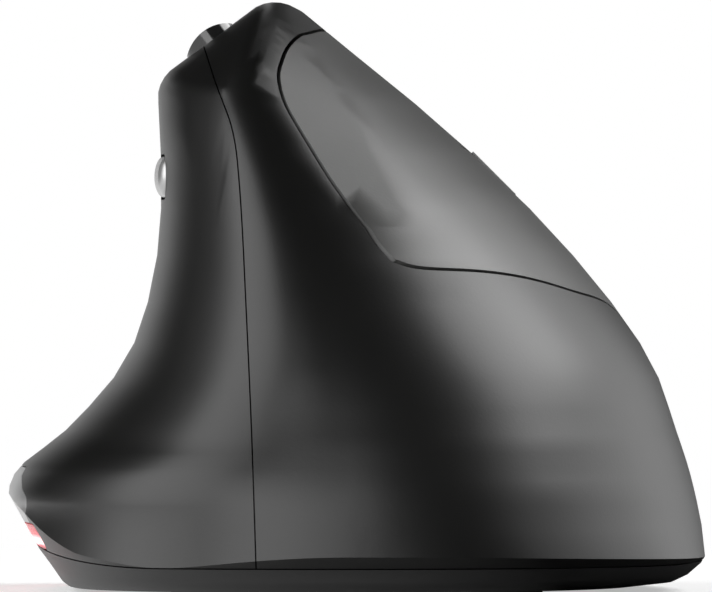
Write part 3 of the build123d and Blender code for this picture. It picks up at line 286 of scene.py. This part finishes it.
plastics = {
    "soft_touch": dict(
        greys=(0.0040, 0.0052), tint=(1.0, 1.0, 0.95), rough=(0.35, 0.39), grain=2600.0,
        depth=0.00002, specular=0.45,
    ),
    "satin_panel": dict(
        greys=(0.036, 0.041), tint=(1.0, 1.0, 0.97), rough=(0.36, 0.41), grain=3000.0,
        depth=0.00002, specular=0.6,
    ),
    "base_plastic": dict(
        greys=(0.006, 0.008), rough=(0.42, 0.50), grain=1800.0, depth=0.00003, specular=0.9,
    ),
    "silver_paint": dict(
        greys=(0.40, 0.46), rough=(0.32, 0.38), grain=3500.0, depth=0.00002, metallic=0.75,
    ),
    "gloss_black": dict(
        greys=(0.016, 0.020), rough=(0.10, 0.14), grain=900.0, depth=0.00001, coat=0.6,
        coat_rough=0.05,
    ),
    "tyre_rubber": dict(
        greys=(0.018, 0.028), rough=(0.55, 0.70), grain=2200.0, depth=0.00006, sheen=0.1,
    ),
    "white_plastic": dict(
        greys=(0.62, 0.68), rough=(0.35, 0.45), grain=1500.0, depth=0.00003,
    ),
    "dark_plastic": dict(
        greys=(0.045, 0.060), rough=(0.38, 0.48), grain=1500.0, depth=0.00003,
    ),
    "chip_black": dict(
        greys=(0.012, 0.020), rough=(0.45, 0.55), grain=2500.0, depth=0.00003,
    ),
    "foot_tape": dict(
        greys=(0.050, 0.062), rough=(0.50, 0.62), grain=1200.0, depth=0.00003,
    ),
    "led_white": dict(
        greys=(0.60, 0.72), tint=(1.0, 0.96, 0.86), rough=(0.15, 0.22), grain=600.0,
        depth=0.00001, coat=0.5,
    ),
}
looks = {name: moulded(name, **values) for name, values in plastics.items()}
looks["steel"] = brushed("steel", greys=(0.46, 0.60), rough=0.32)
looks["spring_steel"] = brushed("spring_steel", greys=(0.60, 0.74), rough=0.20)
for name, maker in (
    ("red_light", glowing), ("board_green", circuit), ("battery_wrap", wrapped),
    ("clear_lens", clear),
):
    looks[name] = maker(name)


# The true direction of the outer form at each point, for smooth shading across its facets

half_length, half_width, height = 60.0, 40.0, 67.0
form_shares = (
    (-0.090, -1.100, 1.0225, -1.010, 1.015, 0.000, 0.100, 0.133, -0.033),
    (0.060, -1.030, 1.0010, -1.000, 1.000, 0.000, 0.100, 0.133, -0.033),
    (0.134, -1.0035, 0.979, -0.995, 0.990, -0.008, 0.090, 0.133, -0.017),
    (0.172, -0.9995, 0.965, -0.990, 0.983, -0.012, 0.080, 0.133, -0.017),
    (0.209, -0.966, 0.949, -0.982, 0.975, -0.017, 0.075, 0.133, 0.000),
    (0.269, -0.8380, 0.916, -0.965, 0.958, -0.025, 0.062, 0.125, 0.000),
    (0.388, -0.667, 0.843, -0.922, 0.923, -0.060, 0.037, 0.117, 0.033),
    (0.522, -0.588, 0.687, -0.850, 0.880, -0.115, -0.012, 0.100, 0.067),
    (0.672, -0.561, 0.459, -0.747, 0.827, -0.185, -0.075, 0.100, 0.100),
    (0.821, -0.570, 0.184, -0.608, 0.760, -0.270, -0.162, 0.100, 0.133),
    (0.955, -0.573, -0.092, -0.433, 0.687, -0.350, -0.262, 0.133, 0.167),
    (1.090, -0.580, -0.365, -0.200, 0.600, -0.450, -0.375, 0.167, 0.200),
)
tub_ends = (0.0, 0.1, 0.133, -0.033)
tub_shares = (
    (0.0060, -0.830, 0.790, -0.943, 0.943) + tub_ends,
    (0.0134, -0.846, 0.905, -0.955, 0.955) + tub_ends,
    (0.0254, -0.860, 0.9475, -0.962, 0.962) + tub_ends,
    (0.0448, -0.8825, 0.985, -0.970, 0.970) + tub_ends,
    (0.0687, -0.9125, 1.010, -1.003, 1.003) + tub_ends,
    (0.2180, -1.050, 1.0875, -1.100, 1.100) + tub_ends,
)
crest_shares = (
    (-1.250, 0.448), (-1.000, 0.657), (-0.750, 0.821), (-0.500, 0.940),
    (-0.250, 1.006), (-0.050, 1.0205), (0.167, 1.003), (0.367, 0.955),
    (0.567, 0.878), (0.750, 0.782), (0.933, 0.664), (1.167, 0.493),
)
crest_x_share = -0.2304
facet_slope = 0.741
crest_round = 4.0
form_powers = {"rear_right": 2.15, "front": 2.6, "rear_left": 2.3}
tub_powers = {"rear_right": 2.15, "front": 2.6, "rear_left": 3.0}
probe_step = 0.05
skin_reach = 0.45
round_reach = 1.3
round_from = height * 0.6
tub_until = height * 0.2165
tiny = 1e-6


def smooth_rows(rows, place):
    """The rows of a table at many places, on smooth curves through the table's rows."""
    rows = np.array(rows)
    levels = rows[:, 0]
    index = np.clip(np.searchsorted(levels, place, side="right") - 1, 0, len(rows) - 2)
    low, high = rows[index], rows[index + 1]
    before = rows[np.maximum(index - 1, 0)]
    after = rows[np.minimum(index + 2, len(rows) - 1)]
    step = (high[:, :1] - low[:, :1])
    part = (place[:, None] - low[:, :1]) / step
    start_slope = (high - before) / (high[:, :1] - before[:, :1]) * step
    end_slope = (after - low) / (after[:, :1] - low[:, :1]) * step
    rise = high - low
    bend = (rise * 3 - start_slope * 2 - end_slope) * part ** 2
    turn = (start_slope + end_slope - rise * 2) * part ** 3
    return low + start_slope * part + bend + turn


def fullness(points, rows, powers):
    """How far out each point lies: 1 on the outline at its level, more outside it."""
    x, y, z = points.T
    row = smooth_rows(rows, z / height)
    left, right, rear, front = (
        row[:, 1] * half_width, row[:, 2] * half_width,
        row[:, 3] * half_length, row[:, 4] * half_length,
    )
    rear_x, front_x = row[:, 5] * half_width, row[:, 6] * half_width
    left_y, right_y = row[:, 7] * half_length, row[:, 8] * half_length
    chord = (x - rear_x) * (front - rear) - (y - rear) * (front_x - rear_x)
    finger_side = chord > 0
    side_y = np.where(finger_side, right_y, left_y)
    rearward = y < side_y
    end_x = np.where(rearward, rear_x, front_x)
    side_x = np.where(finger_side, right, left)
    end_y = np.where(rearward, rear, front)
    rear_power = np.where(finger_side, powers["rear_right"], powers["rear_left"])
    power = np.where(rearward, rear_power, powers["front"])
    across = np.maximum((x - end_x) / (side_x - end_x), 0.0)
    along = np.maximum((y - side_y) / (end_y - side_y), 0.0)
    return (across ** power + along ** power) ** (1.0 / power)


def directions(points, rows, powers):
    """Outward direction of the form at each point, and how deep the point lies in it."""
    middle = fullness(points, rows, powers)
    slopes = []
    for axis in range(3):
        shift = np.zeros(3)
        shift[axis] = probe_step
        ahead = fullness(points + shift, rows, powers)
        slopes.append(ahead - fullness(points - shift, rows, powers))
    slopes = np.array(slopes).T / (probe_step * 2)
    size = np.maximum(np.linalg.norm(slopes, axis=1), tiny)
    return slopes / size[:, None], (1.0 - middle) / size


def facet_directions(points):
    """The same for the facet that falls from the crest to the thumb side."""
    x, y, z = points.T

    def facet_height(at):
        crest = smooth_rows(crest_shares, at / half_length)[:, 1] * height
        return crest + (x - crest_x_share * half_width) * facet_slope

    ahead, behind = facet_height(y + probe_step), facet_height(y - probe_step)
    rise = (ahead - behind) / (probe_step * 2)
    normal = np.stack([np.full_like(x, -facet_slope), -rise, np.ones_like(x)], axis=1)
    size = np.linalg.norm(normal, axis=1)
    return normal / size[:, None], (facet_height(y) - z) / size


def round_turn(depth):
    """How far the rounded crest has turned where it lies this deep under a face."""
    return np.arccos(np.clip(1.0 - np.maximum(depth, 0.0) / crest_round, -1.0, 1.0))


def form_directions(points):
    """For points on the outer skin, in millimetres: two candidate directions and their use."""
    side, side_depth = directions(points, form_shares, form_powers)
    top, top_depth = facet_directions(points)
    under, under_depth = directions(points, tub_shares, tub_powers)
    side_turn, top_turn = round_turn(side_depth), round_turn(top_depth)
    share = top_turn / np.maximum(top_turn + side_turn, tiny)
    upper = top * (1.0 - share)[:, None] + side * share[:, None]
    upper /= np.maximum(np.linalg.norm(upper, axis=1), tiny)[:, None]
    level = points[:, 2]
    on_side = np.abs(side_depth) < skin_reach
    on_top = np.abs(top_depth) < skin_reach
    on_round = (side_depth < round_reach) & (top_depth < round_reach) & (level > round_from)
    on_upper = on_side | on_top | on_round
    on_under = (np.abs(under_depth) < skin_reach) & (level < tub_until)
    return upper, on_upper, under, on_under


def skin_points(names):
    """A hidden cloud of the skin's points that carries the form's directions."""
    clouds = []
    for name in names:
        data = nodes[name].data
        flat = np.empty(len(data.vertices) * 3)
        data.vertices.foreach_get("co", flat)
        clouds.append(flat.reshape(-1, 3))
    places = np.vstack(clouds)
    upper, on_upper, under, on_under = form_directions(places * millimetres_per_metre)
    keep = on_upper | on_under
    upper[~on_upper] = 0.0
    under[~on_under] = 0.0
    mesh = bpy.data.meshes.new("skin_points")
    mesh.from_pydata(places[keep].tolist(), [], [])
    for label, values in (("upper", upper[keep]), ("under", under[keep])):
        attribute = mesh.attributes.new(label, "FLOAT_VECTOR", "POINT")
        attribute.data.foreach_set("vector", values.ravel())
    cloud = bpy.data.objects.new("skin_points_" + names[0], mesh)
    scene.collection.objects.link(cloud)
    cloud.hide_render = True
    return cloud


# Smooth shading with sharp edges kept

merge_distance = 0.000002
sharp_angle = math.radians(28.0)
same_place = 0.00001
aligned_least = 0.86


def shading_group(cloud=None):
    """Joins a mesh's facets, smooths its shading and takes directions from a point cloud."""
    group = bpy.data.node_groups.new("smooth_facets", "GeometryNodeTree")
    group.interface.new_socket("Geometry", in_out="INPUT", socket_type="NodeSocketGeometry")
    group.interface.new_socket("Geometry", in_out="OUTPUT", socket_type="NodeSocketGeometry")
    make, link = group.nodes.new, group.links.new
    start, end = make("NodeGroupInput"), make("NodeGroupOutput")
    merge = make("GeometryNodeMergeByDistance")
    merge.inputs["Distance"].default_value = merge_distance
    clean = make("GeometryNodeSetMeshNormal")
    clean.mode = "SHARPNESS"
    clean.inputs["Remove Custom"].default_value = True
    angle = make("GeometryNodeInputMeshEdgeAngle")
    above = make("FunctionNodeCompare")
    above.operation = "GREATER_THAN"
    above.inputs["B"].default_value = sharp_angle
    link(start.outputs[0], merge.inputs["Geometry"])
    link(merge.outputs["Geometry"], clean.inputs["Mesh"])
    link(angle.outputs["Unsigned Angle"], above.inputs["A"])
    link(above.outputs["Result"], clean.inputs["Edge Sharpness"])
    geometry = clean.outputs["Mesh"]
    if cloud:
        geometry = take_directions(group, geometry, cloud)
    link(geometry, end.inputs[0])
    return group


def take_directions(group, geometry, cloud):
    """Gives each corner that lies on the form the direction of the form there."""
    make, link = group.nodes.new, group.links.new
    source = make("GeometryNodeObjectInfo")
    source.inputs["Object"].default_value = cloud
    place = make("GeometryNodeInputPosition").outputs[0]
    nearest = make("GeometryNodeSampleNearest")
    nearest.domain = "POINT"
    link(source.outputs["Geometry"], nearest.inputs["Geometry"])
    link(place, nearest.inputs["Sample Position"])

    def named(label):
        attribute = make("GeometryNodeInputNamedAttribute")
        attribute.data_type = "FLOAT_VECTOR"
        attribute.inputs["Name"].default_value = label
        return attribute.outputs["Attribute"]

    def fetched(value):
        sample = make("GeometryNodeSampleIndex")
        sample.data_type = "FLOAT_VECTOR"
        sample.domain = "POINT"
        link(source.outputs["Geometry"], sample.inputs["Geometry"])
        link(value, sample.inputs["Value"])
        link(nearest.outputs["Index"], sample.inputs["Index"])
        return sample.outputs["Value"]

    def measured(operation, first, second):
        node = make("ShaderNodeVectorMath")
        node.operation = operation
        link(first, node.inputs[0])
        link(second, node.inputs[1])
        return node.outputs["Value"]

    def compared(operation, first, second):
        node = make("FunctionNodeCompare")
        node.operation = operation
        link(first, node.inputs["A"])
        if isinstance(second, float):
            node.inputs["B"].default_value = second
        else:
            link(second, node.inputs["B"])
        return node.outputs["Result"]

    def chosen(test, yes, no):
        node = make("GeometryNodeSwitch")
        node.input_type = "VECTOR"
        link(test, node.inputs["Switch"])
        link(yes, node.inputs["True"])
        link(no, node.inputs["False"])
        return node.outputs["Output"]

    normal = make("GeometryNodeInputNormal")
    on_face = make("GeometryNodeFieldOnDomain")
    on_face.domain = "FACE"
    on_face.data_type = "FLOAT_VECTOR"
    link(normal.outputs["True Normal"], on_face.inputs["Value"])
    flat = on_face.outputs["Value"]
    upper, under = fetched(named("upper")), fetched(named("under"))
    upper_match = measured("DOT_PRODUCT", flat, upper)
    under_match = measured("DOT_PRODUCT", flat, under)
    best = chosen(compared("GREATER_THAN", upper_match, under_match), upper, under)
    close = compared("LESS_THAN", measured("DISTANCE", place, fetched(place)), same_place)
    aligned = compared("GREATER_THAN", measured("DOT_PRODUCT", flat, best), aligned_least)
    both = make("FunctionNodeBooleanMath")
    both.operation = "AND"
    link(close, both.inputs[0])
    link(aligned, both.inputs[1])
    setter = make("GeometryNodeSetMeshNormal")
    setter.mode = "FREE"
    setter.domain = "CORNER"
    link(geometry, setter.inputs["Mesh"])
    final = chosen(both.outputs[0], best, normal.outputs["Normal"])
    link(final, setter.inputs["Custom Normal"])
    return setter.outputs["Mesh"]


skin_names = (
    "thumb_cover", "palm_cover", "finger_panel", "left_button", "right_button",
    "base_tray", "thumb_trim", "light_strip",
)
plain_group = shading_group()
skin_group = shading_group(skin_points(skin_names))

slot_of = {part["node"]: part["material_slot"] for part in frame["record"]["subparts"]}
for name, node in nodes.items():
    node.data.materials.clear()
    node.data.materials.append(looks[slot_of[name]])
    modifier = node.modifiers.new("smooth_facets", "NODES")
    modifier.node_group = skin_group if name in skin_names else plain_group


# Thumb keys with domed tops, in the outline and place of the CAD keys

thumb_key_length = 0.018
thumb_key_height = 0.0047
thumb_key_level = 0.04715
thumb_key_middles = {"back_button": -0.003, "forward_button": 0.017}
thumb_key_sink = 0.0011
thumb_key_depth = 0.0024
thumb_key_radius = thumb_key_height / 2
thumb_key_reach = thumb_key_length / 2 - thumb_key_radius
outward_most = -0.7
dome_rings = 12
end_steps = 20


def outer_face(node):
    """A smooth surface x(y, z) through the outer face of a CAD key."""
    mesh = node.data
    middle = thumb_key_middles[node.name]
    places = []
    for face in mesh.polygons:
        past = max(0.0, abs(face.center.y - middle) - thumb_key_reach)
        aside = math.hypot(past, face.center.z - thumb_key_level)
        if face.normal.x < outward_most and aside < thumb_key_radius:
            places += [mesh.vertices[index].co for index in face.vertices]
    y = np.array([place.y for place in places])
    z = np.array([place.z for place in places]) - thumb_key_level
    x = np.array([place.x for place in places])
    terms = np.column_stack([np.ones_like(y), y, y * y, z, z * y])
    shares = np.linalg.lstsq(terms, x, rcond=None)[0]
    return lambda y, z: float(np.dot(shares, [1.0, y, y * y, z, z * y]))


def domed_key(name, body):
    """A key that rounds off evenly from its middle line to its outline."""
    face_x = outer_face(nodes[name])
    middle = thumb_key_middles[name]
    around = 2 * (end_steps + 1)
    points = []
    for ring in range(dome_rings + 2):
        angle = math.radians(90.0) * max(ring - 1, 0) / dome_rings
        spread = thumb_key_radius * math.cos(angle)
        sink = thumb_key_sink * (1.0 - math.sin(angle))
        sink = thumb_key_depth if ring == 0 else sink
        for step in range(around):
            end = 1 if step <= end_steps else -1
            turn = math.pi * (step % (end_steps + 1)) / end_steps
            y = middle + end * (thumb_key_reach + spread * math.sin(turn))
            z = end * spread * math.cos(turn)
            points.append((face_x(y, z) + sink, y, thumb_key_level + z))
    faces = []
    for ring in range(dome_rings + 1):
        for step in range(around):
            after = (step + 1) % around
            low, high = ring * around, (ring + 1) * around
            faces.append((low + step, low + after, high + after, high + step))
    mesh = bpy.data.meshes.new(name + "_domed")
    mesh.from_pydata(points, [], faces)
    mesh.validate()
    mesh.shade_smooth()
    mesh.materials.append(looks[slot_of[name]])
    key = bpy.data.objects.new(name + "_domed", mesh)
    scene.collection.objects.link(key)
    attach(key, body)
    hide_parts(name)


domed_key("back_button", "back_key")
domed_key("forward_button", "forward_key")


# Floor and cards

floor_radius = 0.8
floor_corners = 96
floor_level = -0.0002
floor_fade_start, floor_fade_end = 0.10, 0.34
floor_dark, floor_light = 0.78, 0.80
floor_lift = 0.45
desk_scale = 30.0
cloth_scale = 5.0
cloth_rough = (0.85, 0.95)
cloth_grey = 0.004
card_distance = 1.6
# The low card paints shade into reflections: a dark sheet on the desk that only gloss and
# glass see
low_card_place = (0.04, -0.05, -0.0001)
low_card_size = (0.20, 0.30)
low_card_fade_start, low_card_fade_end = -0.42, -0.08
painted_shade_dark, painted_shade_light = 0.010, 0.014


def seen_rays(tree):
    """1 for what the camera sees, straight or in gloss and glass, and 0 for lighting."""
    rays = tree.nodes.new("ShaderNodeLightPath").outputs
    direct = combined(tree, "MAXIMUM", rays["Is Camera Ray"], rays["Is Glossy Ray"])
    return combined(tree, "MAXIMUM", direct, rays["Is Transmission Ray"])


def floor_material():
    """White near the object but for its shadow, and plain white further out."""
    material, tree = empty_material("floor_white")
    length = tree.nodes.new("ShaderNodeVectorMath")
    length.operation = "LENGTH"
    tree.links.new(object_place(tree), length.inputs[0])
    away = ranged(
        tree, length.outputs["Value"], 0.0, 1.0, start=floor_fade_start, end=floor_fade_end
    )
    rays = tree.nodes.new("ShaderNodeLightPath").outputs
    far = combined(tree, "MULTIPLY", away, rays["Is Camera Ray"])
    matt = tree.nodes.new("ShaderNodeBsdfDiffuse")
    shade = two_tone(tree, noise(tree, desk_scale), grey(floor_dark), grey(floor_light))
    tree.links.new(shade, matt.inputs["Color"])
    lift = tree.nodes.new("ShaderNodeEmission")
    tree.links.new(ranged(tree, seen_rays(tree), 0.0, floor_lift), lift.inputs["Strength"])
    both = tree.nodes.new("ShaderNodeAddShader")
    tree.links.new(matt.outputs[0], both.inputs[0])
    tree.links.new(lift.outputs[0], both.inputs[1])
    white = tree.nodes.new("ShaderNodeEmission")
    surfaced(tree, mixed(tree, far, both, white))
    return material


def flag_material():
    """Black cloth."""
    material, tree, shader = new_material("flag_black")
    nap = ranged(tree, noise(tree, cloth_scale), *cloth_rough)
    tree.links.new(nap, shader.inputs["Roughness"])
    shader.inputs["Base Color"].default_value = (*grey(cloth_grey), 1.0)
    shader.inputs["Specular IOR Level"].default_value = 0.0
    return material


def painted_shade_card_material():
    """Dark card that fades out to the left: painted shade in reflections of the desk."""
    material, tree = empty_material("painted_shade_fading")
    share = ranged(
        tree, object_axis(tree, "X"), 0.0, 1.0, start=low_card_fade_start,
        end=low_card_fade_end,
    )
    dark = tree.nodes.new("ShaderNodeBsdfDiffuse")
    shade = two_tone(tree, noise(tree, desk_scale), grey(painted_shade_dark), grey(painted_shade_light))
    tree.links.new(shade, dark.inputs["Color"])
    surfaced(tree, mixed(tree, share, tree.nodes.new("ShaderNodeBsdfTransparent"), dark))
    return material


def staged(name, mesh_maker, material):
    """A piece of the studio that isn't part of the object."""
    mesh_maker()
    thing = bpy.context.object
    thing.name = name
    thing.data.materials.append(material)
    return thing


def around_object(turn, rise, away):
    """A place at an angle round from the camera's side, an angle up and a distance."""
    turn, rise = math.radians(turn), math.radians(rise)
    level = away * math.cos(rise)
    return Vector((level * math.sin(turn), -level * math.cos(turn), away * math.sin(rise)))


def card(name, place, size, material):
    """A flat card that the camera doesn't see and that casts no shadow."""
    thing = staged(
        name, lambda: bpy.ops.mesh.primitive_plane_add(size=1.0, location=place), material
    )
    thing.scale = (*size, 1.0)
    thing.visible_camera = False
    thing.visible_shadow = False
    return thing


def flag(name, turn, rise, size):
    """A black card that keeps light and white surroundings off the object from one side."""
    place = around_object(turn, rise, card_distance)
    thing = card(name, place, size, black)
    thing.rotation_euler = place.to_track_quat("Z", "Y").to_euler()


staged(
    "floor",
    lambda: bpy.ops.mesh.primitive_circle_add(
        vertices=floor_corners, radius=floor_radius, fill_type="NGON",
        location=(0.0, 0.0, floor_level),
    ),
    floor_material(),
)
black = flag_material()
flag("flag_behind_camera", turn=24.0, rise=8.0, size=(2.9, 3.2))
flag("flag_left", turn=-140.0, rise=14.0, size=(1.2, 1.6))
flag("flag_above", turn=0.0, rise=88.0, size=(3.4, 3.4))
flag("flag_over_brow", turn=-163.0, rise=28.0, size=(0.70, 1.00))
flag("flag_right", turn=170.0, rise=12.0, size=(0.60, 1.80))

# The desk card is painted shade: it darkens only what gloss and glass show of the desk
low_card = card("flag_low_right", low_card_place, low_card_size, painted_shade_card_material())
low_card.visible_diffuse = False


# World, lamps and camera

world_lighting = 0.2
world_seen = 1.0
lamp_distance = 1.0
pixels_wide = 712
pixels_high = 592
millimetres_per_pixel = 80.0 / 698.0
middle_pixel_x = 357.0
desk_pixel_y = 588.5
sensor_width = 36.0
distance = 3.1
tilt = math.radians(0.3)

world = bpy.data.worlds.new("studio")
scene.world = world
world.use_nodes = True
tree = world.node_tree
background = tree.nodes["Background"]
background.inputs["Color"].default_value = (1.0, 1.0, 1.0, 1.0)
strength = ranged(tree, seen_rays(tree), world_lighting, world_seen)
tree.links.new(strength, background.inputs["Strength"])


def lamp(name, turn, rise, size, radiance):
    """A soft box that faces the object."""
    data = bpy.data.lights.new(name, "AREA")
    data.shape = "RECTANGLE"
    data.size, data.size_y = size
    data.energy = radiance * math.pi * size[0] * size[1]
    holder = bpy.data.objects.new(name, data)
    scene.collection.objects.link(holder)
    holder.location = around_object(turn, rise, lamp_distance)
    holder.rotation_euler = (-holder.location).to_track_quat("-Z", "Y").to_euler()


lamp("left_front_box", turn=-24.0, rise=6.0, size=(1.15, 0.75), radiance=3.1)
lamp("left_side_box", turn=-84.0, rise=22.0, size=(0.85, 1.0), radiance=2.0)
lamp("right_high_box", turn=108.0, rise=43.0, size=(0.85, 0.6), radiance=5.0)
lamp("right_low_box", turn=118.0, rise=8.0, size=(0.90, 0.4), radiance=0.9)

camera_data = bpy.data.cameras.new("camera")
camera = bpy.data.objects.new("camera", camera_data)
scene.collection.objects.link(camera)
scene.camera = camera
view_width = pixels_wide * millimetres_per_pixel / millimetres_per_metre
camera_data.sensor_width = sensor_width
camera_data.lens = sensor_width * distance / view_width
middle_x = (
    (pixels_wide / 2 - middle_pixel_x) * millimetres_per_pixel / millimetres_per_metre
)
middle_z = (desk_pixel_y - pixels_high / 2) * millimetres_per_pixel / millimetres_per_metre
camera.location = (middle_x, -distance * math.cos(tilt), middle_z + distance * math.sin(tilt))
camera.rotation_euler = (math.radians(90.0) - tilt, 0.0, 0.0)
camera_data.clip_start = 0.1
camera_data.clip_end = 20.0

scene.view_settings.view_transform = "Standard"
